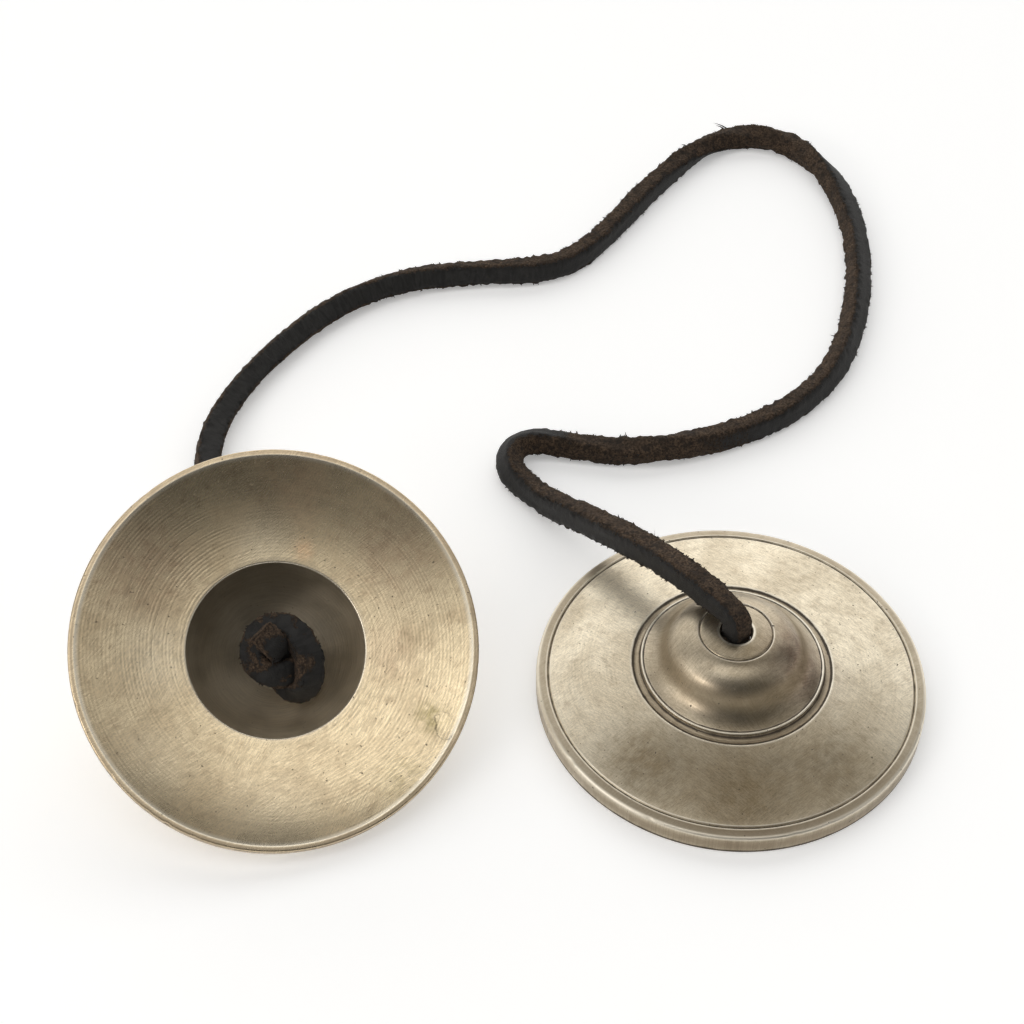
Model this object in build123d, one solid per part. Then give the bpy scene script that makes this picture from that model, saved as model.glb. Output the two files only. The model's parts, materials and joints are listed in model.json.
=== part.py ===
"""A pair of tingsha: two cast bell-metal cymbals on one leather thong, knotted inside each boss.

The right cymbal lies on its rim with the boss up. The left one lies boss down, so it leans on
the edge of its rim and on the bend of the thong under its boss. Millimetres, +Z up, the floor
at Z = 0, the origin at the middle of the two cymbals' common box, and the front towards -Y.
"""
import os
from math import asin, atan2, cos, degrees, hypot, radians, sin, tan

from build123d import *

# Cymbal: radii from its axis, heights from the face of the rim, with the boss up
CYMBAL_RADIUS = 32.5
RIM_THICKNESS = 3.9
RIM_LAND_WIDTH = 0.6
RIM_FACE_ROUND = 0.4
RIM_BACK_ROUND = 0.6
RING_LINE_RADIUS = 30.5
RING_LINE_WIDTH = 0.45
RING_LINE_DEPTH = 0.25
RIM_BEVEL_RISE = 0.2
FLANGE_RISE = 2.65
FLANGE_BOW = 0.15
COVE_RADIUS = 16.7
COVE_WIDTH = 1.5
COVE_RISE = 0.7
COVE_BOW = 0.62
BEAD_WIDTH = 0.45
BEAD_BOW = 0.12
SWELL_RUN = 3.3
SWELL_RISE = 3.5
SWELL_START_SLOPE = 28.0
SHOULDER_RISE = 3.95
CROWN_RADIUS = 5.95
CROWN_LINE_WIDTH = 0.35
CROWN_LINE_DEPTH = 0.18
CROWN_RISE = 0.25
HOLE_ROUND = 0.35
CROWN_WALL = 2.4
CEILING_RADIUS = 5.0
HOLLOW_RADIUS = 14.4
HOLLOW_BOW = 1.4
DISH_DEPTH = 3.7
DISH_BOW = 0.6

# Thong and the knot at each end of it
THONG_DIAMETER = 4.6
HOLE_CLEARANCE = 0.3
JOINT_CLEARANCE = 0.3
KNOT_STRAND = 2.85
KNOT_GAP = 0.5
KNOT_NECK = 0.8
KNOT_CLEARANCE = 0.35
CORNER_SHARE = 0.45
BEND_ROOM = 13.8

# How closely a knot is searched for the gap between its strands
GAP_SAMPLES_PER_DIAMETER = 7
GAP_DIAMETERS_APART = 3

# Lay-out on the floor
RIGHT_PLACE = (37.0, 1.15)
LEFT_PLACE = (-39.8, 3.95)
LEFT_LEAN_HEADING = -72.0
RIGHT_BEND_RISE = 3.2
LEFT_BEND_DROP = 4.2
LEFT_ROCK_RANGE = 42.0
RIGHT_KNOT_TURN = 200.0
LEFT_KNOT_TURN = 55.0

# Knot: a true overhand, in strand spacings from its middle: down the hole, round, and back through its loop
KNOT_ROUTE = [
    (0.00, 0.00, 2.45),
    (0.00, 0.00, 1.72),
    (-0.09, -0.63, 1.30),
    (0.30, -1.11, 1.00),
    (0.87, -1.03, 0.59),
    (1.17, -0.25, 0.07),
    (0.96, 0.71, -0.16),
    (0.01, 1.16, -0.19),
    (-0.94, 0.67, -0.34),
    (-1.16, -0.39, -0.60),
    (-0.36, -1.17, -0.83),
    (0.97, -1.20, -0.82),
    (2.08, -0.65, -0.40),
    (2.19, 0.05, 0.47),
    (1.34, 0.35, 1.11),
    (0.33, 0.24, 0.83),
    (-0.05, -0.02, -0.05),
    (-0.05, -0.03, -0.72),
    (-0.29, 0.05, -1.15),
]

# Thong on the floor, from the left cymbal round the back to the fold beside the right one
FLOOR_ROUTE = [
    (-42.4, 12.2),
    (-46.2, 23.5),
    (-51.2, 35.5),
    (-55.8, 47.0),
    (-56.6, 58.5),
    (-53.0, 70.5),
    (-45.5, 83.5),
    (-34.3, 96.8),
    (-20.8, 104.2),
    (-6.5, 106.3),
    (7.2, 106.7),
    (15.4, 112.0),
    (23.4, 123.6),
    (32.5, 137.6),
    (42.2, 149.2),
    (52.0, 154.0),
    (62.4, 151.0),
    (69.9, 139.3),
    (72.9, 123.6),
    (72.4, 107.2),
    (69.4, 91.6),
    (64.3, 77.6),
    (55.9, 67.2),
    (47.0, 61.2),
    (35.4, 56.2),
    (22.6, 54.2),
    (12.2, 55.9),
    (4.0, 57.4),
    (0.2, 54.4),
    (-0.1, 49.6),
]

# Thong from the fold up to the right boss: distance from the hole's axis, height above the floor
RISE_ROUTE = [
    (54.5, 2.5),
    (47.0, 4.6),
    (38.0, 8.8),
    (28.0, 13.0),
    (17.5, 16.4),
    (8.0, 18.3),
]
RISE_HEADING = 127.5

THONG_RADIUS = THONG_DIAMETER / 2
HOLE_RADIUS = THONG_RADIUS + HOLE_CLEARANCE
RING_PLANE = RIM_THICKNESS + RIM_BEVEL_RISE
COVE_LIP = RING_PLANE + FLANGE_RISE
BEAD_HEIGHT = COVE_LIP + COVE_RISE
BOSS_RADIUS = COVE_RADIUS - COVE_WIDTH - BEAD_WIDTH
SHOULDER_HEIGHT = BEAD_HEIGHT + SWELL_RISE
CROWN_HEIGHT = SHOULDER_HEIGHT + SHOULDER_RISE
BOSS_HEIGHT = CROWN_HEIGHT + CROWN_RISE
CEILING_HEIGHT = BOSS_HEIGHT - CROWN_WALL
STRAND_PITCH = KNOT_STRAND + KNOT_GAP


def arc_radii(points):
    """The largest corner radii that the runs of a route allow, one for each inner point."""
    radii = []
    for before, corner, after in zip(points, points[1:], points[2:]):
        run_in = Vector(*corner) - Vector(*before)
        run_out = Vector(*after) - Vector(*corner)
        half_turn = radians(run_in.get_angle(run_out)) / 2
        radii.append(CORNER_SHARE * min(run_in.length, run_out.length) / tan(half_turn))
    return radii


def cord_path(points):
    """Straight runs joined by tangent arcs."""
    return FilletPolyline(*points, radius=arc_radii(points))


def tube(path, diameter):
    """A round cord swept along a path."""
    start = Plane(origin=path @ 0, z_dir=path % 0)
    return sweep(start * Circle(diameter / 2), path=path)


def least_gap(path, diameter):
    """The smallest gap between stretches of a cord that are over three diameters apart along it."""
    count = round(GAP_SAMPLES_PER_DIAMETER * path.length / diameter)
    places = [path @ (index / count) for index in range(count + 1)]
    apart = GAP_DIAMETERS_APART * GAP_SAMPLES_PER_DIAMETER
    gaps = []
    for index, place in enumerate(places):
        for other in places[index + apart:]:
            gaps.append((other - place).length)
    return min(gaps) - diameter


def cymbal_section():
    """Half of the cymbal's section: radius along X, height along Y."""
    land_inner = CYMBAL_RADIUS - RIM_FACE_ROUND - RIM_LAND_WIDTH
    land_outer = CYMBAL_RADIUS - RIM_FACE_ROUND
    wall_top = RIM_THICKNESS - RIM_BACK_ROUND
    bevel_outer = CYMBAL_RADIUS - RIM_BACK_ROUND
    ring_outer = RING_LINE_RADIUS + RING_LINE_WIDTH / 2
    ring_inner = RING_LINE_RADIUS - RING_LINE_WIDTH / 2
    cove_inner = COVE_RADIUS - COVE_WIDTH
    swell_end = (BOSS_RADIUS - SWELL_RUN, SHOULDER_HEIGHT)
    crown_outer = (CROWN_RADIUS + CROWN_LINE_WIDTH / 2, CROWN_HEIGHT)
    crown_inner = (CROWN_RADIUS - CROWN_LINE_WIDTH / 2, CROWN_HEIGHT)
    slope = radians(SWELL_START_SLOPE)

    hollow = [
        Line((HOLE_RADIUS, CEILING_HEIGHT), (CEILING_RADIUS, CEILING_HEIGHT)),
        SagittaArc((CEILING_RADIUS, CEILING_HEIGHT), (HOLLOW_RADIUS, DISH_DEPTH), HOLLOW_BOW),
        SagittaArc((HOLLOW_RADIUS, DISH_DEPTH), (land_inner, 0), DISH_BOW),
    ]
    rim = [
        Line((land_inner, 0), (land_outer, 0)),
        TangentArc((land_outer, 0), (CYMBAL_RADIUS, RIM_FACE_ROUND), tangent=(1, 0)),
        Line((CYMBAL_RADIUS, RIM_FACE_ROUND), (CYMBAL_RADIUS, wall_top)),
        TangentArc((CYMBAL_RADIUS, wall_top), (bevel_outer, RIM_THICKNESS), tangent=(0, 1)),
        Line((bevel_outer, RIM_THICKNESS), (ring_outer, RING_PLANE)),
        SagittaArc((ring_outer, RING_PLANE), (ring_inner, RING_PLANE), RING_LINE_DEPTH),
    ]
    flange = [
        SagittaArc((ring_inner, RING_PLANE), (COVE_RADIUS, COVE_LIP), -FLANGE_BOW),
        SagittaArc((COVE_RADIUS, COVE_LIP), (cove_inner, BEAD_HEIGHT), COVE_BOW),
        SagittaArc((cove_inner, BEAD_HEIGHT), (BOSS_RADIUS, BEAD_HEIGHT), -BEAD_BOW),
    ]
    swell = TangentArc((BOSS_RADIUS, BEAD_HEIGHT), swell_end, tangent=(-cos(slope), sin(slope)))
    boss = [
        swell,
        TangentArc(swell_end, crown_outer, tangent=swell % 1),
        SagittaArc(crown_outer, crown_inner, CROWN_LINE_DEPTH),
        Line(crown_inner, (HOLE_RADIUS + HOLE_ROUND, BOSS_HEIGHT)),
        TangentArc(
            (HOLE_RADIUS + HOLE_ROUND, BOSS_HEIGHT),
            (HOLE_RADIUS, BOSS_HEIGHT - HOLE_ROUND),
            tangent=(-1, 0),
        ),
        Line((HOLE_RADIUS, BOSS_HEIGHT - HOLE_ROUND), (HOLE_RADIUS, CEILING_HEIGHT)),
    ]
    return make_face(hollow + rim + flange + boss)


def cymbal():
    """One cymbal on its own axis, boss up."""
    return revolve(Plane.XZ * cymbal_section(), Axis.Z)


def knot(pivot_height, turn):
    """The knot under the boss's ceiling and its shank through the hole, up to a ball at the pivot."""
    route_top = max(point[2] for point in KNOT_ROUTE[2:])
    middle = CEILING_HEIGHT - KNOT_CLEARANCE - KNOT_STRAND / 2 - KNOT_NECK - route_top * STRAND_PITCH
    points = []
    for x, y, z in KNOT_ROUTE:
        points.append((x * STRAND_PITCH, y * STRAND_PITCH, middle + z * STRAND_PITCH))
    path = cord_path(points)
    print("knot's least gap to itself", round(least_gap(path, KNOT_STRAND), 2))
    neck_foot = points[0][2] - KNOT_NECK / 2
    neck = Pos(0, 0, neck_foot + KNOT_NECK / 2) * Cone(KNOT_STRAND / 2, THONG_RADIUS, KNOT_NECK)
    shank_foot = neck_foot + KNOT_NECK
    shank_length = pivot_height - shank_foot
    shank = Pos(0, 0, shank_foot + shank_length / 2) * Cylinder(THONG_RADIUS, shank_length)
    ball = Pos(0, 0, pivot_height) * Sphere(THONG_RADIUS)
    return Rot(0, 0, turn) * (tube(path, KNOT_STRAND) + neck + shank + ball)


# Where the cymbals lie: each place is the point where the thong bends outside its boss
rocking = radians(LEFT_LEAN_HEADING)
corner_radius = CYMBAL_RADIUS - RIM_BACK_ROUND
corner_drop = BOSS_HEIGHT - RIM_THICKNESS + RIM_BACK_ROUND + LEFT_BEND_DROP
left_lean = atan2(corner_drop, corner_radius) + asin(
    (THONG_RADIUS - RIM_BACK_ROUND) / hypot(corner_drop, corner_radius)
)
left_pivot = Vector(*LEFT_PLACE, THONG_RADIUS)


def lean_direction(angle):
    """Straight up, leaned by an angle towards the heading that the left cymbal leans to."""
    return Vector(sin(angle) * cos(rocking), sin(angle) * sin(rocking), cos(angle))


left_axis = lean_direction(left_lean)
left_reach = BOSS_HEIGHT + LEFT_BEND_DROP
left_frame = Plane(origin=left_pivot + left_axis * left_reach, x_dir=(1, 0, 0), z_dir=-left_axis)
right_pivot = Vector(*RIGHT_PLACE, BOSS_HEIGHT + RIGHT_BEND_RISE)
right_frame = Plane(origin=(*RIGHT_PLACE, 0))


def thong():
    """The free stretch of the thong, hollowed at both ends for the balls that it bends on."""
    heading = radians(RISE_HEADING)
    points = [left_pivot]
    for x, y in FLOOR_ROUTE:
        points.append(Vector(x, y, THONG_RADIUS))
    for reach, height in RISE_ROUTE:
        place = Vector(right_pivot.X + reach * cos(heading), right_pivot.Y + reach * sin(heading), height)
        points.append(place)
    points.append(right_pivot)
    path = cord_path(points)
    print("thong's radii", [round(radius, 1) for radius in arc_radii(points)])
    body = tube(path, THONG_DIAMETER)
    section = Circle(THONG_RADIUS).area
    print("thong's length", round(path.length, 1), "volume share", round(body.volume / section / path.length, 4))

    clear = THONG_RADIUS + JOINT_CLEARANCE
    right_room = Pos(*right_pivot) * (Sphere(clear) + Pos(0, 0, -BEND_ROOM / 2) * Cylinder(clear, BEND_ROOM))
    first = left_axis
    last = lean_direction(left_lean - radians(LEFT_ROCK_RANGE))
    left_room = Pos(*left_pivot) * Sphere(clear)
    for direction in (first, last):
        middle = left_pivot + direction * (BEND_ROOM / 2)
        left_room += Plane(origin=middle, z_dir=direction) * Cylinder(clear, BEND_ROOM)
    tips = [left_pivot + direction * BEND_ROOM for direction in (first, last)]
    swing = Polyline(left_pivot, *tips, close=True)
    rocking_normal = first.cross(last).normalized()
    left_room += extrude(make_face(swing), amount=clear, dir=rocking_normal, both=True)
    return body - right_room - left_room


os.makedirs("parts", exist_ok=True)
nodes = {
    "right_cymbal": right_frame * cymbal(),
    "left_cymbal": left_frame * cymbal(),
    "right_knot": right_frame * knot(BOSS_HEIGHT + RIGHT_BEND_RISE, RIGHT_KNOT_TURN),
    "left_knot": left_frame * knot(BOSS_HEIGHT + LEFT_BEND_DROP, LEFT_KNOT_TURN),
    "thong": thong(),
}
for name, shape in nodes.items():
    export_step(shape, f"parts/{name}.step")
print("boss height", round(BOSS_HEIGHT, 3), "lean", round(degrees(left_lean), 3))
print("left pivot", left_pivot, "left axis", left_axis)
print("right pivot", right_pivot)
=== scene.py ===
"""Looks of the tingsha pair: two turned bell-metal cymbals on one knotted leather thong."""
import json
from math import atan, atan2, cos, pi, radians, sin, sqrt, tan

import bpy
import numpy as np
from mathutils import Matrix, Vector
from numpy.linalg import norm


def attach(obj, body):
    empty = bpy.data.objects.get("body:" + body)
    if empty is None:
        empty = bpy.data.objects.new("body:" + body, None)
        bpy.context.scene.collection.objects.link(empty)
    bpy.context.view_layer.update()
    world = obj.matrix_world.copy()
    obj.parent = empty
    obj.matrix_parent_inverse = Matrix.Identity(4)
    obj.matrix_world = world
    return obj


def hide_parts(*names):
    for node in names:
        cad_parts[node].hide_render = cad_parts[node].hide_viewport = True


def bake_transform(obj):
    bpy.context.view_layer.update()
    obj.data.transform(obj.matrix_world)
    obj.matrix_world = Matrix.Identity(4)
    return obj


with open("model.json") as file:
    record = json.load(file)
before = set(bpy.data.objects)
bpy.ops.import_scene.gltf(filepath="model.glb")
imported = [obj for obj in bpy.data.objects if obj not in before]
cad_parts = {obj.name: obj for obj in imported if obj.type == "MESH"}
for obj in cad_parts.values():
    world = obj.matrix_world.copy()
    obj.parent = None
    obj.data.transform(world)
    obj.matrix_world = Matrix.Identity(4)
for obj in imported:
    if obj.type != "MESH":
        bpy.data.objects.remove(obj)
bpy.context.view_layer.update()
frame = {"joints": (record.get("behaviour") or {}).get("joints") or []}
joints = {joint["name"]: joint for joint in frame["joints"]}
MM = 0.001

# Cymbal, as in the solid: radii and heights in mm, boss up
CYMBAL_RADIUS = 32.5
RIM_THICKNESS = 3.9
RIM_LAND_WIDTH = 0.6
RIM_FACE_ROUND = 0.4
RIM_BACK_ROUND = 0.6
RING_LINE_RADIUS = 30.5
RING_LINE_WIDTH = 0.45
RING_LINE_DEPTH = 0.25
RING_PLANE = 4.1
COVE_RADIUS = 16.7
COVE_LIP = 6.75
FLANGE_BOW = 0.15
COVE_WIDTH = 1.5
COVE_BOW = 0.62
BEAD_HEIGHT = 7.45
BEAD_WIDTH = 0.45
BEAD_BOW = 0.12
SWELL_RUN = 3.3
SWELL_START_SLOPE = radians(28)
SHOULDER_HEIGHT = 10.95
CROWN_RADIUS = 5.95
CROWN_HEIGHT = 14.9
CROWN_LINE_WIDTH = 0.35
CROWN_LINE_DEPTH = 0.18
BOSS_HEIGHT = 15.15
HOLE_RADIUS = 2.6
HOLE_ROUND = 0.35
CEILING_HEIGHT = 12.75
CEILING_RADIUS = 5
HOLLOW_RADIUS = 14.4
HOLLOW_BOW = 1.4
DISH_DEPTH = 3.7
DISH_BOW = 0.6
SEGMENTS = 448

# Wear of the cymbals: steps of the section, warp, ovalness and nicks in the two edges of the rim
WORN_PASSES = 3
WORN_SHARE = 0.4
SECTION_TOLERANCE = 0.0035
MARKED = 0.2
FINE_STEP = 0.12
COARSE_STEP = 0.8
WARP_START = 12
WARP_RUN = 20
WARP_WAVES = ((2, 0.03), (3, 0.02))
OVAL_WAVES = ((2, 0.0006), (5, 0.0004))
NICK_COUNT = 16
NICK_RADIUS = CYMBAL_RADIUS - 0.2
NICK_HEIGHTS = (0.1, RIM_THICKNESS - 0.2)
NICK_REACHES = (0.5, 1.3)
NICK_DEPTHS = (0.05, 0.16)
# Slopes between which the steep sides of the boss take painted shade
STEEP_SLOPES = (radians(46), radians(58))

# Places on the section that are rubbed bright with painted highlights, grimy with painted shade, or brown:
# radius, height and reach
LIPS_AND_HIGHLIGHTS = [
    (HOLLOW_RADIUS, DISH_DEPTH, 0.17),
    (CYMBAL_RADIUS - 1.05, 0, 0.15),
    (CYMBAL_RADIUS - 0.2, RIM_THICKNESS - 0.15, 0.35),
    (COVE_RADIUS, COVE_LIP, 0.2),
    (COVE_RADIUS - 1.73, BEAD_HEIGHT + 0.1, 0.26),
    (RING_LINE_RADIUS + 0.23, RING_PLANE, 0.14),
    (RING_LINE_RADIUS - 0.23, RING_PLANE, 0.14),
    (CROWN_RADIUS + 0.18, CROWN_HEIGHT, 0.12),
    (HOLE_RADIUS + HOLE_ROUND, BOSS_HEIGHT, 0.2),
]
# Grime and painted shade in the engraved lines, the cove, the hole and at the foot of the rim
DIRT_AND_SHADE_PLACES = [
    (RING_LINE_RADIUS, RING_PLANE - 0.22, 0.13),
    (COVE_RADIUS - 0.25, COVE_LIP - 0.2, 0.3),
    (COVE_RADIUS - 1.4, COVE_LIP + 0.05, 0.26),
    (COVE_RADIUS - 1.98, BEAD_HEIGHT + 0.05, 0.16),
    (CROWN_RADIUS, CROWN_HEIGHT - 0.17, 0.11),
    (HOLE_RADIUS, BOSS_HEIGHT - 0.45, 0.5),
    (HOLE_RADIUS, BOSS_HEIGHT - 1.55, 1.2),
    (CYMBAL_RADIUS, 0.5, 0.3),
]
FACE_EDGE_PLACES = [(CYMBAL_RADIUS - 0.55, 0, 0.22), (CYMBAL_RADIUS - 0.15, 0.2, 0.22)]
BROWN_PLACES = [
    (RING_LINE_RADIUS + 0.8, RING_PLANE - 0.05, 0.75),
    (CYMBAL_RADIUS - RIM_BACK_ROUND, RIM_THICKNESS, 0.5),
    (CYMBAL_RADIUS, 2, 1.3),
    (COVE_RADIUS - 0.6, COVE_LIP - 0.29, 0.65),
    (COVE_RADIUS - 1.2, COVE_LIP - 0.15, 0.5),
    *FACE_EDGE_PLACES,
]

# Thong and knots, as in the solids
THONG_DIAMETER = 4.6
LEFT_REACH = 19.35
KNOT_PITCH = 3.35
KNOT_MIDDLE = 5.82
RIGHT_KNOT_TURN = 200
LEFT_KNOT_TURN = 55
FLOOR_ROUTE = [
    (-42.4, 12.2), (-46.2, 23.5), (-51.2, 35.5), (-55.8, 47), (-56.6, 58.5), (-53, 70.5),
    (-45.5, 83.5), (-34.3, 96.8), (-20.8, 104.2), (-6.5, 106.3), (7.2, 106.7), (15.4, 112),
    (23.4, 123.6), (32.5, 137.6), (42.2, 149.2), (52, 154), (62.4, 151), (69.9, 139.3),
    (72.9, 123.6), (72.4, 107.2), (69.4, 91.6), (64.3, 77.6), (55.9, 67.2), (47, 61.2),
    (35.4, 56.2), (22.6, 54.2), (12.2, 55.9), (4, 57.4), (0.2, 54.4), (-0.1, 49.6),
]
RISE_ROUTE = [(54.5, 2.5), (47, 4.6), (38, 8.8), (28, 13), (17.5, 16.4), (8, 18.3)]
RISE_HEADING = radians(127.5)
KNOT_ROUTE = [
    (0, 0, 2.45), (0, 0, 1.72), (-0.09, -0.63, 1.3), (0.3, -1.11, 1),
    (0.87, -1.03, 0.59), (1.17, -0.25, 0.07), (0.96, 0.71, -0.16), (0.01, 1.16, -0.19),
    (-0.94, 0.67, -0.34), (-1.16, -0.39, -0.6), (-0.36, -1.17, -0.83), (0.97, -1.2, -0.82),
    (2.08, -0.65, -0.4), (2.19, 0.05, 0.47), (1.34, 0.35, 1.11), (0.33, 0.24, 0.83),
    (-0.05, -0.02, -0.05), (-0.05, -0.03, -0.72), (-0.29, 0.05, -1.15),
]
LEFT_TAIL = [(-1.05, 0.2, -1.28)]

# Cut of the leather: width, thickness and corner of the section, steps along it, and its ends
THONG_SECTION = (4.5, 4.2, 1.1)
THONG_STEP = 0.4
KNOT_SECTION = (4.3, 3.5, 0.85)
KNOT_STEP = 0.3
KNOT_TAIL = 3.2
KNOT_EASING = 12
KNOT_OPENNESS = 0.6
LEFT_SHANK = (9, 4.5)
RIGHT_SHANK = (3.5, 8)
SEAM_STEPS = 22

# Roll of the grain side from straight up towards the right of the way along: share of the length, degrees
ROLLS = [
    (0, 15), (0.1, 10), (0.13, 14), (0.147, 27), (0.175, 36), (0.208, 41), (0.247, 48), (0.281, 64),
    (0.313, 74), (0.344, 82), (0.37, 85), (0.4, 82), (0.44, 92), (0.46, 125), (0.49, 205), (0.52, 300),
    (0.55, 338), (0.6, 326), (0.64, 314), (0.68, 295), (0.72, 276), (0.755, 285), (0.785, 350),
    (0.81, 385), (0.83, 390), (0.845, 425), (0.86, 440), (0.9, 446), (1, 446),
]
ROLL_SMOOTHING = 20
# Shares of the length: the black grain fades out over the first two and comes back over the last two
WORN_STRETCH = (0.715, 0.775, 0.795, 0.825)
# The thong is squeezed in the two holes: shares of the length, and of the section there
SQUEEZE_SHARES = (0.016, 0.024, 0.97, 0.978)
SQUEEZE = (0.9, 1, 1, 0.9)

# Ragged leather: spread of the bumps in mm and their reach in steps, then how it lies on the floor
SIDE_SWELL = 0.03
SIDE_REACH = 6
EDGE_ROUGHNESS = 0.11
CUT_ROUGHNESS = 0.035
ROUGHNESS_REACH = 1
GIRTH_SWELL = 0.04
GIRTH_REACH = 16
LYING_TOLERANCE = 0.05
SETTLE_REACH = 15

# Cut ends: share of the section and stand-out of each ring, the middle's stand-out, and the spread
END_RINGS = [(0.86, 0.16), (0.6, 0.22), (0.3, 0.2)]
END_MIDDLE = 0.2
END_SPREAD = 0.07

# Teeth, long teeth and torn fibres: least chance, then range of reach and of breadth
FIBRE_KINDS = [
    (0, (0.14, 0.4), (0.12, 0.24)),
    (0.93, (0.35, 0.6), (0.12, 0.22)),
    (0.992, (0.7, 1.2), (0.05, 0.085)),
]
FIBRE_DENSITY = 5.5
FIBRE_ROOT = 0.14
FIBRE_LEVELS = [(0, 1), (0.4, 0.75), (0.75, 0.42)]
FIBRE_LEAN = 0.5
FIBRE_SCATTER = 0.22
FIBRE_BEND = 0.25
CROWD_REACH = 8
BARE_CROWD = -0.6
FLOOR_CLEARANCE = 0.15
# Long loose fibres: share of the length and reach
LOOSE_FIBRES = [(0.477, 2.7), (0.4755, 1.5), (0.45, 0.9)]
LOOSE_BREADTH = 0.2

# Leather colours
CHARCOAL = (0.0125, 0.0123, 0.012, 1)
RUBBED_CHARCOAL = (0.028, 0.0275, 0.0268, 1)
DEEP_NAP = (0.022, 0.0155, 0.011, 1)
PALE_NAP = (0.13, 0.088, 0.058, 1)
BLOTCH = (0.024, 0.0185, 0.0145, 1)
SMEAR = (0.02, 0.0165, 0.014, 1)
SHEEN_TINT = (0.55, 0.47, 0.4, 1)

# Metal colours, among them painted shade, a painted glint, a bright for rubbed edges and painted
# highlights, and a grimy dark that also paints shade
BOSS_BROWN = (0.34, 0.28, 0.2, 1)
COPPER = (0.5, 0.335, 0.225, 1)
# A painted glint of warm light
PAINTED_GLINT = (0.9, 0.62, 0.38, 1)
RUST = (0.17, 0.112, 0.078, 1)
OLIVE = (0.3, 0.25, 0.12, 1)
# Painted shade, on the front of the right cymbal and on the steep sides of the boss
PAINTED_SHADE = (0.25, 0.195, 0.12, 1)
PALE = (0.92, 0.79, 0.57, 1)
# Bright of the edges, partly rubbed wear and partly painted highlight
RUBBED_LIP_AND_HIGHLIGHT = (0.93, 0.87, 0.74, 1)
# Dark colour of grimy lines, pits, flaw outlines and painted shade
GRIME_AND_SHADE = (0.055, 0.042, 0.03, 1)
HOLLOW_COLOURS = ((0.49, 0.43, 0.333, 1), (0.6, 0.53, 0.415, 1))
GROOVE_PITCH = 0.6
GROOVE_TURN = radians(12)
GROOVE_SPREAD = radians(70)
SEED_SHIFT = 17.3

# Finish and painted light of each cymbal. Palette: bright, middle, brown, and brown of the edges.
# Stains, painted shade and a painted glint: middle, reach, tint, share and how ragged. Flaws: middle and
# radius.
# Scores: radius, turn of the middle and half the sweep, in degrees as the turns of the strokes.
RIGHT_FINISH_AND_PAINTED_LIGHT = {
    "palette": [
        (0.77, 0.69, 0.54, 1), (0.63, 0.55, 0.415, 1),
        (0.36, 0.29, 0.2, 1), (0.25, 0.195, 0.13, 1)],
    "stroke_turns": (38, 140),
    "brushed": 2,
    "turned": 0.4,
    "groove": 0.03,
    "satin": 0.42,
    "stains_and_painted_light": [
        ((10.5, -3.5, 11), 12, RUST, 0.95, 0.35),
        # Painted shade: the front of the boss, the front of the crown, the front of the flange and its back
        # right
        ((3, -11, 10.5), 9, PAINTED_SHADE, 0.6, 0.5),
        ((0.5, -3, 15), 8, PAINTED_SHADE, 0.9, 0.4),
        ((-15, -19, 5.5), 14, PAINTED_SHADE, 0.9, 0.3),
        ((15, -20, 5), 15, PAINTED_SHADE, 0.8, 0.3),
        ((0, -25, 5), 21, PAINTED_SHADE, 1, 0.15),
        ((17, 15, 5.3), 14, PAINTED_SHADE, 0.28, 0.7),
    ],
}
LEFT_FLAW = (27.2, 12.4, 1)
LEFT_DENT = (*LEFT_FLAW, 3, 0, 0.14)
LEFT_FINISH_AND_PAINTED_LIGHT = {
    "palette": [
        (0.745, 0.615, 0.41, 1), (0.66, 0.53, 0.345, 1),
        (0.41, 0.305, 0.19, 1), (0.44, 0.35, 0.25, 1)],
    "stroke_turns": (-60, -35),
    "brushed": 2.2,
    "turned": 0.6,
    "groove": 0.14,
    "satin": 0.3,
    "stains_and_painted_light": [
        ((19, -17, 2), 13, COPPER, 0.4, 0.8),
        # A copper tint that also darkens the inner right of the dish as painted shade
        ((18, 0, 2.8), 8, COPPER, 0.3, 0.4),
        # A painted glint, near the top of the hollow's edge
        ((3.8, -16.6, 3.1), 2.8, PAINTED_GLINT, 0.9, 0.7),
        ((25, 10.6, 1.5), 4.2, OLIVE, 0.9, 1),
        ((-22, -13, 1.5), 14, COPPER, 0.45, 0.6),
        ((21, 21, 1), 7, OLIVE, 0.35, 1),
        ((2, -27, 1), 12, COPPER, 0.3, 0.5),
        # Paler patches to the left, the top, the bottom and the lower left of the dish
        ((-18.5, 2, 2.8), 10, PALE, 0.75, 0.4),
        ((-3, -17.5, 3), 8, PALE, 0.6, 0.4),
        ((0, 27, 0.8), 13, PALE, 0.4, 0.4),
        ((-19, 19, 1.2), 11, PALE, 0.35, 0.4),
    ],
    "flaws": [(LEFT_FLAW, 2)],
    "scores": [(23, 215, 26), (23.5, 212, 20), (25.2, 190, 22), (19.6, 185, 18)],
}

# Stage and camera, in metres
FLOOR_HALF = 30
FLOOR_GLOW = 0.315
WINDOW_PLACE = (-0.6, -0.46, 0.38)
WINDOW_AIM = (0, 0.02, 0)
CAMERA_PLACE = (0.00049, -0.18725, 0.24854)
CAMERA_TILT = radians(42.6)
CAMERA_LENS = 64.69
SENSOR_WIDTH = 36

right_pivot = Vector(joints["cord_lift"]["pos_m"]) / MM
left_pivot = Vector(joints["left_rock"]["pos_m"]) / MM
left_axis = Vector(joints["left_spin"]["axis"]).normalized()


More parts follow.
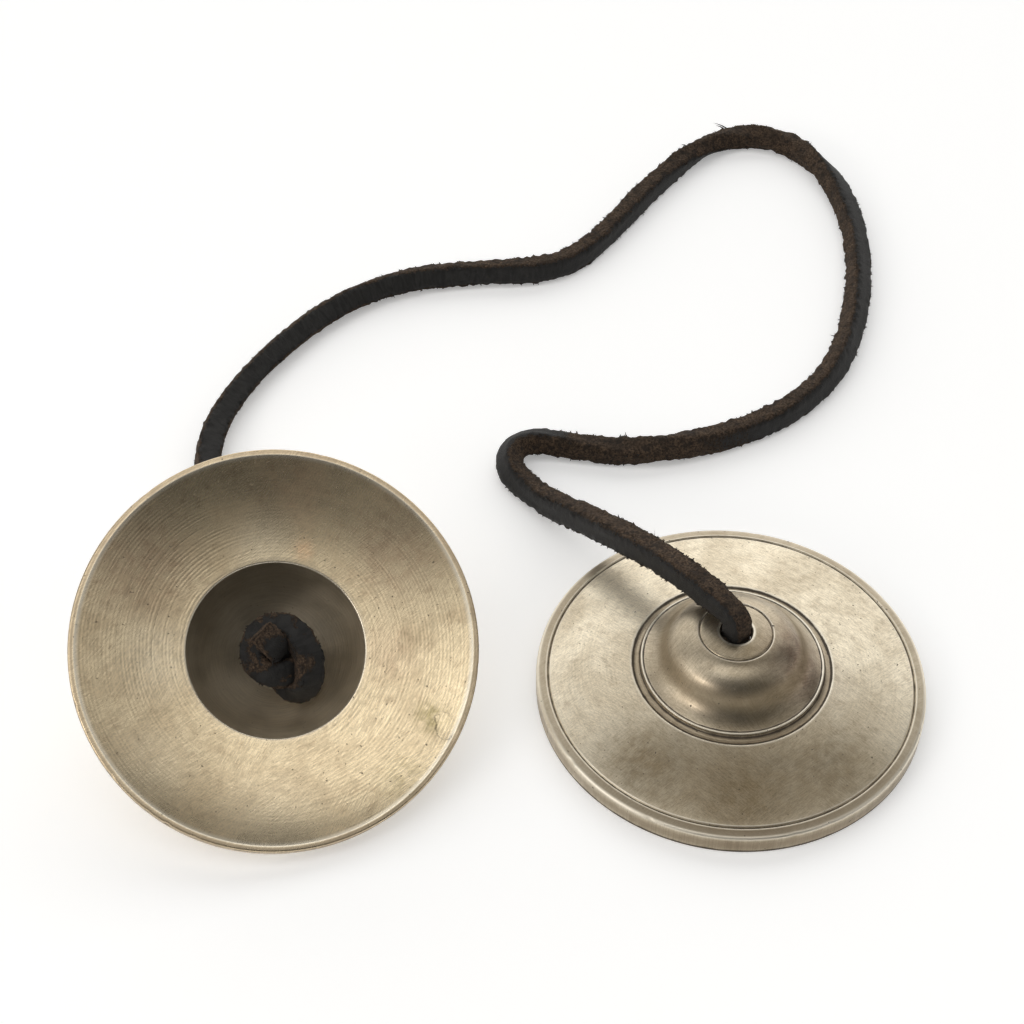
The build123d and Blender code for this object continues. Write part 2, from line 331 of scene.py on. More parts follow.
class Web:
    """Nodes of a material or the world. Each call adds one and returns its first output."""

    def __init__(self, holder):
        holder.use_nodes = True
        self.holder = holder
        self.tree = holder.node_tree
        self.tree.nodes.clear()

    def node(self, kind, inputs=(), **settings):
        made = self.tree.nodes.new(kind)
        for key, value in settings.items():
            setattr(made, key, value)
        for key, value in dict(inputs).items():
            self.feed(made.inputs[key], value)
        return made

    def feed(self, socket, value):
        if isinstance(value, bpy.types.NodeSocket):
            self.tree.links.new(value, socket)
        elif value is not None:
            socket.default_value = value

    def math(self, operation, first, second=None, clamp=False, third=None):
        inputs = {0: first, 1: second, 2: third}
        return self.node("ShaderNodeMath", inputs, operation=operation, use_clamp=clamp).outputs[0]

    def span(self, value, low, high, start=0, end=1):
        """Maps low..high of a value to start..end, smoothly and no further."""
        inputs = {"Value": value, "From Min": low, "From Max": high, "To Min": start, "To Max": end}
        return self.node("ShaderNodeMapRange", inputs, interpolation_type="SMOOTHSTEP").outputs[0]

    def noise(self, vector, scale=1, detail=2, roughness=0.5, distortion=0):
        inputs = {"Vector": vector, "Scale": scale, "Detail": detail, "Roughness": roughness,
                  "Distortion": distortion}
        return self.node("ShaderNodeTexNoise", inputs).outputs["Fac"]

    def vector(self, x, y, z):
        return self.node("ShaderNodeCombineXYZ", {0: x, 1: y, 2: z}).outputs[0]

    def attribute(self, name, output="Fac"):
        return self.node("ShaderNodeAttribute", attribute_name=name).outputs[output]

    def mix(self, share, first, second, blend="MIX"):
        inputs = {0: share, 6: first, 7: second}
        return self.node("ShaderNodeMix", inputs, data_type="RGBA", blend_type=blend).outputs[2]

    def times(self, first, second):
        return self.math("MULTIPLY", first, second)

    def plus(self, first, second, clamp=False):
        return self.math("ADD", first, second, clamp)

    def minus(self, first, second):
        return self.math("SUBTRACT", first, second)

    def larger(self, first, second):
        return self.math("MAXIMUM", first, second)

    def add_up(self, total, *terms):
        """A total plus some values, each times its weight."""
        for value, weight in terms:
            total = self.math("MULTIPLY_ADD", value, weight, third=total)
        return total

    def vector_math(self, operation, first, second=None, output="Vector"):
        inputs = {0: first, 1: second}
        return self.node("ShaderNodeVectorMath", inputs, operation=operation).outputs[output]

    def surface(self, inputs, bump=None, distance=None, strength=None):
        shader = self.node("ShaderNodeBsdfPrincipled", inputs)
        if bump is not None:
            relief = {"Height": bump, "Distance": distance, "Strength": strength}
            self.feed(shader.inputs["Normal"], self.node("ShaderNodeBump", relief).outputs[0])
        out = self.node("ShaderNodeOutputMaterial")
        self.tree.links.new(shader.outputs[0], out.inputs["Surface"])


def add_object(name, data):
    made = bpy.data.objects.new(name, data)
    bpy.context.scene.collection.objects.link(made)
    return made


def add_piece(name, material, vertices, faces, attributes):
    """A smooth mesh piece from vertices in mm and faces, with float or vector attributes."""
    mesh = bpy.data.meshes.new(name)
    mesh.from_pydata((np.asarray(vertices) * MM).tolist(), [], faces)
    mesh.update()
    for key, values in attributes.items():
        values = np.asarray(values, np.float32)
        if values.ndim == 2:
            mesh.attributes.new(key, "FLOAT_VECTOR", "POINT").data.foreach_set("vector", values.ravel())
        else:
            mesh.attributes.new(key, "FLOAT", "POINT").data.foreach_set("value", values)
    mesh.polygons.foreach_set("use_smooth", [True] * len(mesh.polygons))
    mesh.materials.append(material)
    return add_object(name, mesh)


def grid(rows, columns):
    """Corners of the faces of a grid that closes on itself both ways."""
    index = np.arange(rows * columns).reshape(rows, columns)
    after_row = np.roll(index, -1, axis=0)
    return np.stack((index, np.roll(index, -1, axis=1), np.roll(after_row, -1, axis=1), after_row), axis=-1)


def normalised(vectors):
    return vectors / norm(vectors, axis=1, keepdims=True)


# Section of the cymbal
def bowed(start, end, bow, steps):
    """Points of an arc whose middle stands a bow to the left of its chord."""
    first = complex(*start)
    chord = complex(*end) - first
    shares = np.linspace(0, 1, steps + 1)
    points = first + chord * shares
    if bow:
        half = abs(chord) / 2
        radius = (half * half + bow * bow) / (2 * bow)
        centre = first + chord / 2 + 1j * chord / (2 * half) * (bow - radius)
        points = centre + (first - centre) * np.exp(-4j * atan(bow / half) * shares)
    return np.stack((points.real, points.imag), axis=1)


def heading_bow(start, heading, end):
    """The bow of an arc that leaves its start along a heading, and the heading at its end."""
    chord = complex(*end) - complex(*start)
    along = atan2(chord.imag, chord.real)
    lead = (heading - along + pi) % (2 * pi) - pi
    return abs(chord) / 2 * tan(lead / 2), along - lead


def cymbal_profile():
    """Points of the section, from the hole's ceiling round the rim and back to the hole."""
    cove_inner = COVE_RADIUS - COVE_WIDTH
    swell_start = (cove_inner - BEAD_WIDTH, BEAD_HEIGHT)
    swell_end = (swell_start[0] - SWELL_RUN, SHOULDER_HEIGHT)
    crown_outer = (CROWN_RADIUS + CROWN_LINE_WIDTH / 2, CROWN_HEIGHT)
    swell_bow, lean = heading_bow(swell_start, pi - SWELL_START_SLOPE, swell_end)
    shoulder_bow, _ = heading_bow(swell_end, lean, crown_outer)
    quarter = sqrt(0.5) - 1
    # Each stop of the outline, with the bow and the steps of the run that leads to it
    stops = [
        ((CEILING_RADIUS, CEILING_HEIGHT), 0, 16),
        ((HOLLOW_RADIUS, DISH_DEPTH), HOLLOW_BOW, 90),
        ((CYMBAL_RADIUS - RIM_FACE_ROUND - RIM_LAND_WIDTH, 0), DISH_BOW, 140),
        ((CYMBAL_RADIUS - RIM_FACE_ROUND, 0), 0, 12),
        ((CYMBAL_RADIUS, RIM_FACE_ROUND), RIM_FACE_ROUND * quarter, 10),
        ((CYMBAL_RADIUS, RIM_THICKNESS - RIM_BACK_ROUND), 0, 24),
        ((CYMBAL_RADIUS - RIM_BACK_ROUND, RIM_THICKNESS), RIM_BACK_ROUND * quarter, 10),
        ((RING_LINE_RADIUS + RING_LINE_WIDTH / 2, RING_PLANE), 0, 12),
        ((RING_LINE_RADIUS - RING_LINE_WIDTH / 2, RING_PLANE), RING_LINE_DEPTH, 14),
        ((COVE_RADIUS, COVE_LIP), -FLANGE_BOW, 120),
        ((cove_inner, BEAD_HEIGHT), COVE_BOW, 30),
        (swell_start, -BEAD_BOW, 10),
        (swell_end, swell_bow, 40),
        (crown_outer, shoulder_bow, 60),
        ((CROWN_RADIUS - CROWN_LINE_WIDTH / 2, CROWN_HEIGHT), CROWN_LINE_DEPTH, 10),
        ((HOLE_RADIUS + HOLE_ROUND, BOSS_HEIGHT), 0, 24),
        ((HOLE_RADIUS, BOSS_HEIGHT - HOLE_ROUND), HOLE_ROUND * quarter, 10),
        ((HOLE_RADIUS, CEILING_HEIGHT), 0, 12),
    ]
    start = stops[-1][0]
    runs = []
    for end, bow, steps in stops:
        runs.append(bowed(start, end, bow, steps)[:-1])
        start = end
    return np.concatenate(runs)


def worn(points):
    """Rounds a closed section's sharp edges a little, as wear does."""
    for _ in range(WORN_PASSES):
        before = np.roll(points, 1, axis=0)
        after = np.roll(points, -1, axis=0)
        gap_before = norm(points - before, axis=1, keepdims=True)
        gap_after = norm(after - points, axis=1, keepdims=True)
        between = (before * gap_after + after * gap_before) / (gap_before + gap_after)
        points = points * (1 - WORN_SHARE) + between * WORN_SHARE
    return points


def thinned(points, longest):
    """Drops points of a closed section within a tolerance of their chord, by each one's longest step."""
    kept = [0]
    index = 0
    while index < len(points) - 1:
        reach = index + 1
        while reach + 1 < len(points):
            chord = points[reach + 1] - points[index]
            length = norm(chord)
            offsets = points[index + 1:reach + 1] - points[index]
            away = np.abs(offsets[:, 0] * chord[1] - offsets[:, 1] * chord[0]) / length
            if away.max() > SECTION_TOLERANCE or length > longest[index]:
                break
            reach += 1
        kept.append(reach)
        index = reach
    return points[kept]


def near(points, places):
    """How near each point of the section is to the nearest of some places."""
    closeness = np.zeros(len(points))
    for radius, height, reach in places:
        away = np.hypot(points[:, 0] - radius, points[:, 1] - height)
        closeness = np.maximum(closeness, np.exp(-(away / reach) ** 2))
    return closeness


def row_marks(section):
    """What the metal needs to know about each row of the section."""
    radius, height = section.T
    steps = norm(np.diff(section, axis=0), axis=1)
    inside = (radius < HOLLOW_RADIUS - 0.02) & (np.arange(len(section)) < len(section) / 2)
    on_boss = (radius < COVE_RADIUS - COVE_WIDTH) & (height > BEAD_HEIGHT - 0.05) & ~inside
    slope = np.arctan2(np.abs(np.gradient(height)), np.abs(np.gradient(radius)))
    steep = np.clip((slope - STEEP_SLOPES[0]) / (STEEP_SLOPES[1] - STEEP_SLOPES[0]), 0, 1)
    return {
        "arc": np.concatenate(([0], np.cumsum(steps))),
        "lip": near(section, LIPS_AND_HIGHLIGHTS),
        "dirt": near(section, DIRT_AND_SHADE_PLACES),
        "brown": near(section, BROWN_PLACES),
        "hollow": inside.astype(float),
        "boss": on_boss.astype(float),
        "steep": steep * on_boss * (radius > CROWN_RADIUS + 1),
    }


def edge_nicks(chance):
    """Random nicks in the two edges of the rim: place, reach, push outwards and push up."""
    nicks = []
    for _ in range(NICK_COUNT):
        angle = chance.uniform(0, 2 * pi)
        edge_height = chance.choice(NICK_HEIGHTS)
        reach = chance.uniform(*NICK_REACHES)
        depth = chance.uniform(*NICK_DEPTHS)
        across = (NICK_RADIUS * cos(angle), NICK_RADIUS * sin(angle))
        nicks.append((*across, edge_height, reach, -depth, 0))
    return nicks


def add_cymbal(name, body, material, place, dents, seed):
    """A turned cymbal in place of the body's solid, with dents and nicks."""
    section = worn(cymbal_profile())
    marked = near(section, LIPS_AND_HIGHLIGHTS + DIRT_AND_SHADE_PLACES + FACE_EDGE_PLACES) > MARKED
    section = thinned(section, np.where(marked, FINE_STEP, COARSE_STEP))
    turns = np.linspace(0, 2 * pi, SEGMENTS, endpoint=False)
    radius, turn = np.meshgrid(section[:, 0], turns, indexing="ij")
    height = np.repeat(section[:, 1][:, None], SEGMENTS, axis=1)
    chance = np.random.default_rng(seed)
    waves = chance.uniform(0, 2 * pi, 4)
    outer = np.clip((radius - WARP_START) / WARP_RUN, 0, 1)
    for (count, depth), wave in zip(WARP_WAVES, waves[:2]):
        height = height + outer * depth * np.sin(count * turn + wave)
    shrink = np.zeros_like(radius)
    for (count, depth), wave in zip(OVAL_WAVES, waves[2:]):
        shrink = shrink + depth * (1 + np.sin(count * turn + wave))
    radius = radius * (1 - shrink)
    local = np.stack((radius * np.cos(turn), radius * np.sin(turn), height), axis=-1).reshape(-1, 3)
    spoke = normalised(local[:, :2])
    for *spot, reach, push_out, push_up in dents + edge_nicks(chance):
        away = norm(local - spot, axis=1) / reach
        share = np.clip(1 - away * away, 0, 1) ** 2
        local[:, :2] += spoke * (push_out * share)[:, None]
        local[:, 2] += push_up * share
    faces = grid(len(section), SEGMENTS).reshape(-1, 4).tolist()
    turning = np.array(place.to_3x3())
    spin = np.stack((-spoke[:, 1], spoke[:, 0], np.zeros(len(spoke))), axis=1) @ turning.T
    attributes = {"local": local, "spin": spin}
    for key, values in row_marks(section).items():
        attributes[key] = np.repeat(values, SEGMENTS)
    vertices = local @ turning.T + np.array(place.translation) / MM
    vertices[:, 2] = np.maximum(vertices[:, 2], 0)
    piece = add_piece(name, material, vertices, faces, attributes)
    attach(piece, body)
    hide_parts(body)


class TurnedWeb(Web):
    """Nodes of a cymbal's metal, with patterns that follow its turning and rubbing."""

    def __init__(self, name, seed):
        super().__init__(bpy.data.materials.new(name))
        self.shift = seed * SEED_SHIFT
        self.place = self.attribute("local", "Vector")
        self.x, self.y, _ = self.node("ShaderNodeSeparateXYZ", {0: self.place}).outputs
        self.flat_place = self.vector(self.x, self.y, 0)
        self.spoke = self.vector_math("NORMALIZE", self.flat_place)
        self.arc = self.attribute("arc")

    def moved(self, *shares):
        """The place on the cymbal, shifted so that no two patterns are the same."""
        return self.vector_math("ADD", self.place, [self.shift * share for share in shares])

    def away_from(self, spot):
        return self.vector_math("DISTANCE", self.place, spot, "Value")

    def facing(self, turn):
        """1 on the spoke at a turn, and -1 on the far side."""
        return self.vector_math("DOT_PRODUCT", self.spoke, (cos(turn), sin(turn), 0), "Value")

    def lines(self, turn_scale, arc_scale, detail):
        """Lathe lines, which run round the axis."""
        round_x, round_y, _ = self.node("ShaderNodeSeparateXYZ", {0: self.spoke}).outputs
        along = self.add_up(self.shift, (self.arc, arc_scale))
        wave = self.vector(self.times(round_x, turn_scale), self.times(round_y, turn_scale), along)
        return self.noise(wave, 1, detail, 0.6)

    def grooves(self):
        """Even grooves, deepest on two opposite sides and broken up."""
        wander = self.times(self.lines(1.4, 0.35, 1), 7)
        wave = self.math("SINE", self.add_up(wander, (self.arc, 2 * pi / GROOVE_PITCH)))
        side = self.math("ABSOLUTE", self.facing(GROOVE_TURN))
        depth = self.span(side, cos(GROOVE_SPREAD), 1, 0.15, 1)
        depth = self.times(depth, self.span(self.lines(1.8, 0.8, 1), 0.36, 0.58))
        return self.times(wave, depth)

    def scored(self, scores):
        """Single scored arcs."""
        radius = self.vector_math("LENGTH", self.flat_place, output="Value")
        scored = 0
        for score_radius, middle_turn, half_turn in scores:
            half = radians(half_turn)
            beside = self.math("ABSOLUTE", self.minus(radius, score_radius))
            window = self.span(self.facing(radians(middle_turn)), cos(half), cos(half * 0.5))
            scored = self.larger(scored, self.times(self.span(beside, 0.13, 0.03), window))
        return scored

    def strokes(self, turn, length_scale, width_scale):
        """Short straight strokes along one direction."""
        cosine = cos(radians(turn))
        sine = sin(radians(turn))
        along = self.add_up(0, (self.x, cosine), (self.y, sine))
        across = self.add_up(0, (self.y, cosine), (self.x, -sine))
        wave = self.vector(self.times(along, length_scale), self.times(across, width_scale), self.shift)
        return self.noise(wave, 1, 2, 0.6)

    def rubbed(self, turns):
        """Strokes of the last rubbing, in one of two directions by patches."""
        patch = self.span(self.noise(self.moved(1, 0, 1), 0.07, 2), 0.42, 0.58)
        first = self.times(self.strokes(turns[0], 0.75, 6), patch)
        second = self.times(self.strokes(turns[1], 0.8, 6.6), self.minus(1, patch))
        return self.plus(first, second)


def bell_metal(name, seed, palette, stroke_turns, brushed, turned, groove, satin, stains_and_painted_light, flaws=(),
               scores=()):
    """Turned, brushed and worn bell metal: lathe lines, short strokes, stained patches, pits, grimy lines
    with painted shade, painted highlights and a painted glint.
    """
    web = TurnedWeb(name, seed)
    hollow = web.attribute("hollow")
    boss = web.attribute("boss")
    steep = web.attribute("steep")
    stain = web.noise(web.moved(1, 1, 0), 0.085, 5, 0.62, 0.4)
    mottle = web.noise(web.moved(0, 1, 0), 0.55, 4, 0.62)
    grain = web.noise(web.moved(1, 0, 0), 4.2, 2, 0.6)
    specks = web.noise(web.moved(0, 1, 1), 1.7, 1, 0.5)
    fine_lines = web.lines(2.2, 5, 2)
    broad_lines = web.lines(1.2, 1.3, 1)
    grooves = web.grooves()
    scored = web.scored(scores)
    rubbed = web.rubbed(stroke_turns)

    # Bright metal, browner in patches, on the boss and where it is stained, with painted shade and a
    # painted glint laid on as tints
    bright, middle, brown, edge_brown = palette
    colour = web.mix(web.span(stain, 0.38, 0.64), bright, middle)
    colour = web.mix(web.span(mottle, 0.5, 0.76, 0, 0.45), colour, brown)
    colour = web.mix(web.times(boss, 0.62), colour, BOSS_BROWN)
    for spot, reach, tint, share, raggedness in stains_and_painted_light:
        broken = web.span(mottle, 0.28, 0.62, share * (1 - raggedness), share)
        colour = web.mix(web.times(web.span(web.away_from(spot), reach, 0), broken), colour, tint)

    # Strokes, lines and grain lighten or darken it, and edges are brown
    shade = web.add_up(1, (grooves, groove), (scored, -0.3))
    depths = (0.065 * brushed, 0.06 * turned, 0.05 * turned, 0.1)
    for pattern, depth in zip((rubbed, fine_lines, broad_lines, grain), depths):
        shade = web.plus(shade, web.span(pattern, 0.3, 0.7, -depth, depth))
    colour = web.mix(1, colour, shade, "MULTIPLY")
    colour = web.mix(web.times(web.attribute("brown"), 0.7), colour, edge_brown)
    # Painted shade on the steep sides of the boss
    colour = web.mix(web.times(steep, 0.6), colour, PAINTED_SHADE)

    # The hollow is duller, with painted light and shade: darker towards one side, lighter towards the other
    inner = web.mix(web.span(stain, 0.3, 0.7), *HOLLOW_COLOURS)
    painted_light_across = web.add_up(0, (web.x, 0.6), (web.y, 0.8))
    inner = web.mix(1, inner, web.span(painted_light_across, -13, 13, 0.66, 1.42), "MULTIPLY")
    inner = web.mix(1, inner, web.span(fine_lines, 0.3, 0.7, 0.93, 1.07), "MULTIPLY")
    colour = web.mix(hollow, colour, inner)
    # Edges rubbed bright, partly wear and partly painted highlight
    colour = web.mix(web.times(web.attribute("lip"), 0.8), colour, RUBBED_LIP_AND_HIGHLIGHT)

    # Grime and painted shade in the engraved lines and corners; grimy pits and ragged outlines of casting
    # flaws
    grime_and_shade = web.add_up(web.attribute("dirt"), (web.minus(mottle, 0.5), 1.1))
    pits = web.times(web.span(specks, 0.742, 0.77), web.add_up(0.75, (hollow, -0.5)))
    foul_and_shade = web.larger(web.span(grime_and_shade, 0.35, 0.85, 0, 0.9), pits)
    cracks = 0
    for spot, reach in flaws:
        ragged = web.add_up(web.away_from(spot), (web.minus(mottle, 0.5), 5))
        outline = web.times(web.span(ragged, reach - 0.22, reach), web.span(ragged, reach + 0.22, reach))
        cracks = web.larger(cracks, web.times(outline, web.span(stain, 0.36, 0.52)))
    foul_and_shade = web.larger(foul_and_shade, web.times(cracks, 0.7))
    colour = web.mix(foul_and_shade, colour, GRIME_AND_SHADE)

    rough = web.span(stain, 0.35, 0.7, satin - 0.05, satin + 0.05)
    rough = web.add_up(rough, (boss, -0.05), (hollow, 0.28), (steep, 0.12), (foul_and_shade, 0.35))
    rough = web.plus(rough, web.span(rubbed, 0.3, 0.7, 0.04, -0.03), clamp=True)
    relief = web.add_up(
        0, (rubbed, 0.2 * brushed), (fine_lines, 0.25 * turned), (grain, 0.15),
        (grooves, groove * 2.5), (scored, -0.6), (web.larger(pits, cracks), -1.5))
    tangent = web.node(
        "ShaderNodeVectorTransform", {0: web.attribute("spin", "Vector")}, vector_type="VECTOR",
        convert_from="OBJECT", convert_to="WORLD").outputs[0]
    web.surface({
        "Base Color": colour, "Metallic": web.add_up(1, (foul_and_shade, -0.8)), "Roughness": rough,
        "Anisotropic": 0.35, "Tangent": tangent,
    }, relief, 0.00002, 0.8)
    return web.holder


right_place = Matrix.Translation(Vector((right_pivot.x, right_pivot.y, 0)) * MM)
left_z = -left_axis
left_x = Vector((1, 0, 0))
left_x = (left_x - left_z * left_x.dot(left_z)).normalized()
left_y = left_z.cross(left_x)
left_place = Matrix((left_x, left_y, left_z)).transposed().to_4x4()
left_place.translation = (left_pivot + left_axis * LEFT_REACH) * MM

right_metal = bell_metal("bell_metal_right", seed=1, **RIGHT_FINISH_AND_PAINTED_LIGHT)
left_metal = bell_metal("bell_metal_left", seed=2, **LEFT_FINISH_AND_PAINTED_LIGHT)
add_cymbal("right_bell", "right_cymbal", right_metal, right_place, dents=[], seed=11)
add_cymbal("left_bell", "left_cymbal", left_metal, left_place, dents=[LEFT_DENT], seed=23)


# Thong
def spline_points(route):
    """Points of the smooth NURBS line over a route of control points in mm."""
    curve = bpy.data.curves.new("route", "CURVE")
    curve.dimensions = "3D"
    curve.resolution_u = 24
    spline = curve.splines.new("NURBS")
    spline.points.add(len(route) - 1)
    for point, place in zip(spline.points, route):
        point.co = (*(Vector(place) * MM), 1)
    spline.order_u = 3
    spline.use_endpoint_u = True
    holder = add_object("route", curve)
    bpy.context.view_layer.update()
    mesh = bpy.data.meshes.new_from_object(holder)
    points = np.array([vertex.co for vertex in mesh.vertices]) / MM
    bpy.data.objects.remove(holder)
    bpy.data.curves.remove(curve)
    bpy.data.meshes.remove(mesh)
    return points


def evenly(points, spacing):
    """The same line at an even spacing, and each point's distance along it."""
    steps = norm(np.diff(points, axis=0), axis=1)
    run = np.concatenate(([0], np.cumsum(steps)))
    count = int(round(run[-1] / spacing))
    along = np.linspace(0, run[-1], count + 1)
    even = np.stack([np.interp(along, run, points[:, axis]) for axis in range(3)], axis=1)
    return even, along


def carried_frames(points, start, normal):
    """Tangents, and normals carried without twist from a given one at a start index."""
    tangents = normalised(np.gradient(points, axis=0))
    normals = np.zeros_like(points)
    first = np.array(normal, float)
    first -= tangents[start] * first.dot(tangents[start])
    normals[start] = first / norm(first)
    for order in (range(start + 1, len(points)), range(start - 1, -1, -1)):
        previous = start
        for index in order:
            carried = normals[previous] - tangents[index] * normals[previous].dot(tangents[index])
            normals[index] = carried / norm(carried)
            previous = index
    return tangents, normals


def strap_section(width, thickness, corner, side_steps=4, corner_steps=3):
    """Round-cornered section of a square-cut thong: offsets, outward normals, grain and corner shares."""
    half_w = width / 2 - corner
    half_t = thickness / 2 - corner
    centres = np.array([(half_w, half_t), (-half_w, half_t), (-half_w, -half_t), (half_w, -half_t)])
    rows = []
    for number, centre in enumerate(centres):
        for share in np.arange(corner_steps + 1) / corner_steps:
            turn = pi / 2 * (number + share)
            normal = np.array((cos(turn), sin(turn)))
            grain = {0: share, 1: 1 - share}.get(number, 0)
            rows.append((centre + corner * normal, normal, grain, 1 - abs(2 * share - 1) * 0.5))
        for share in np.arange(1, side_steps) / side_steps:
            middle = centre + (centres[(number + 1) % 4] - centre) * share
            rows.append((middle + corner * normal, normal, 1 if number == 0 else 0, 0))
    return [np.array(values) for values in zip(*rows)]


def smooth_noise(chance, count, reach):
    """Random values along a line, smoothed over a reach of points, of unit spread."""
    raw = chance.normal(size=count + 6 * reach)
    kernel = np.exp(-np.linspace(-2, 2, 4 * reach + 1) ** 2)
    values = np.convolve(raw, kernel / np.sqrt((kernel ** 2).sum()), mode="same")
    return values[3 * reach:3 * reach + count]


def averaged(values, reach):
    """Each value averaged with its neighbours within a reach of points."""
    window = 2 * reach + 1
    return np.convolve(np.pad(values, reach, mode="edge"), np.ones(window) / window, mode="valid")


def turned_frames(tangents, normals, rolls):
    """Normals turned about their tangents, towards the right of the way along."""
    sides = np.cross(tangents, normals)
    return normals * np.cos(rolls)[:, None] + sides * np.sin(rolls)[:, None]


def squared(vectors, tangents):
    """Vectors without their share along the tangents."""
    return vectors - tangents * np.sum(vectors * tangents, axis=1, keepdims=True)


def faced_frames(points, aim, centre):
    """Tangents, and normals that turn to an aim and away from a centre as far as they can."""
    tangents = normalised(np.gradient(points, axis=0))
    wish = np.asarray(aim) + KNOT_OPENNESS * normalised(points - np.asarray(centre))
    for _ in range(KNOT_EASING):
        padded = np.pad(squared(wish, tangents), ((1, 1), (0, 0)), mode="edge")
        wish = (padded[:-2] + 2 * padded[1:-1] + padded[2:]) / 4
    return tangents, normalised(squared(wish, tangents))


class Strap:
    """A square-cut leather thong along a line, with ragged edges and torn fibres."""

    def __init__(self, points, along, tangents, up, section, seed, pinch, kept):
        self.chance = np.random.default_rng(seed)
        self.points = points
        self.along = along
        self.tangents = tangents
        self.up = up
        self.side = np.cross(tangents, up)
        self.section, self.outward, self.grain, self.edge = strap_section(*section)
        count = len(points)
        around = len(self.section)
        swell = np.zeros((count, around))
        for column in range(around):
            coarse = smooth_noise(self.chance, count, SIDE_REACH)
            fine = smooth_noise(self.chance, count, ROUGHNESS_REACH)
            ragged = self.edge[column] * EDGE_ROUGHNESS + CUT_ROUGHNESS * (1 - self.grain[column])
            swell[:, column] = coarse * SIDE_SWELL + fine * ragged
        swell += GIRTH_SWELL * smooth_noise(self.chance, count, GIRTH_REACH)[:, None]
        local = self.section[None] + self.outward[None] * swell[:, :, None]
        local = local * pinch[:, None, None]
        across = self.side[:, None] * local[:, :, :1]
        upright = self.up[:, None] * local[:, :, 1:]
        self.rings = points[:, None] + across + upright
        self.shades = self.grain[None] * kept[:, None]

    def settle(self, height):
        """Lets the rings that lie on the floor down or up until they rest there."""
        lowest = self.rings[:, :, 2].min(axis=1)
        lying = np.abs(self.points[:, 2] - height) < LYING_TOLERANCE
        drop = averaged(np.where(lying, lowest, 0), SETTLE_REACH)
        self.rings[:, :, 2] -= drop[:, None]
        self.points = self.points - drop[:, None] * np.array((0, 0, 1))
        self.rings[:, :, 2] = np.maximum(self.rings[:, :, 2], 0)

    def mesh(self, first, last, cap_first=False, cap_last=False, loose_fibres=()):
        """Vertices, faces and attributes of the stretch between two rings, both included."""
        around = len(self.section)
        rings = self.rings[first:last + 1]
        count = len(rings)
        self.vertices = list(rings.reshape(-1, 3))
        self.marks = [list(self.shades[first:last + 1].ravel()),
                      list(np.repeat(self.along[first:last + 1], around)),
                      list(np.tile(np.arange(around) / around, count))]
        self.faces = grid(count, around)[:-1, :, [0, 3, 2, 1]].reshape(-1, 4).tolist()
        for capped, row, ring in ((cap_first, 0, first), (cap_last, count - 1, last)):
            if capped:
                self.add_cap(row, ring)
        self.add_fibres(first, last)
        for share, reach in loose_fibres:
            self.add_loose_fibre(int(share * (len(self.points) - 1)), reach)
        grain, along, girth = self.marks
        return np.array(self.vertices), self.faces, {"grain": grain, "along": along, "girth": girth}

    def add_vertex(self, place, grain, along, girth):
        self.vertices.append(place)
        for values, mark in zip(self.marks, (grain, along, girth)):
            values.append(mark)
        return len(self.vertices) - 1

    def add_faces(self, lower, upper, flip=False):
        """Faces between two loops of points, or between a loop and one point."""
        for corner in range(len(lower)):
            after = (corner + 1) % len(lower)
            ends = (upper[after], upper[corner]) if len(upper) > 1 else upper
            face = (lower[corner], lower[after], *ends)
            self.faces.append(face[::-1] if flip else face)

    def add_cap(self, row, ring):
        """A rough cut end: smaller rings and a middle point, pushed about at random."""
        around = len(self.section)
        outward = self.tangents[ring] * (-1 if row == 0 else 1)
        previous = [row * around + column for column in range(around)]
        centre = self.points[ring]
        for shrink, stand in END_RINGS:
            fresh = []
            for column in range(around):
                place = centre + (self.rings[ring][column] - centre) * shrink
                place = place + outward * (stand + self.chance.normal() * END_SPREAD)
                fresh.append(self.add_vertex(place, 0, self.along[ring], column / around))
            self.add_faces(previous, fresh, row == 0)
            previous = fresh
        middle = self.add_vertex(centre + outward * END_MIDDLE, 0, self.along[ring], 0.5)
        self.add_faces(previous, [middle], row == 0)

    def add_fibre(self, ring, column, aim, reach, breadth, bend, grain):
        """One torn tooth or fibre: a bent three-sided spike rooted in the thong."""
        root = self.rings[ring][column] - aim * FIBRE_ROOT
        across = np.cross(aim, self.tangents[ring])
        across /= max(norm(across), 1e-6)
        other = np.cross(aim, across)
        marks = (grain, self.along[ring], column / len(self.section))
        loops = []
        for level, girth_share in FIBRE_LEVELS:
            middle = root + aim * ((reach + FIBRE_ROOT) * level) + bend * (level * level)
            loop = []
            for corner in range(3):
                turn = 2 * pi * corner / 3
                offset = across * cos(turn) + other * sin(turn)
                loop.append(self.add_vertex(middle + offset * (breadth * girth_share), *marks))
            loops.append(loop)
        tip = self.add_vertex(root + aim * (reach + FIBRE_ROOT) + bend, *marks)
        for lower, upper in zip(loops, [*loops[1:], [tip]]):
            self.add_faces(lower, upper)
        self.faces.append(tuple(reversed(loops[0])))

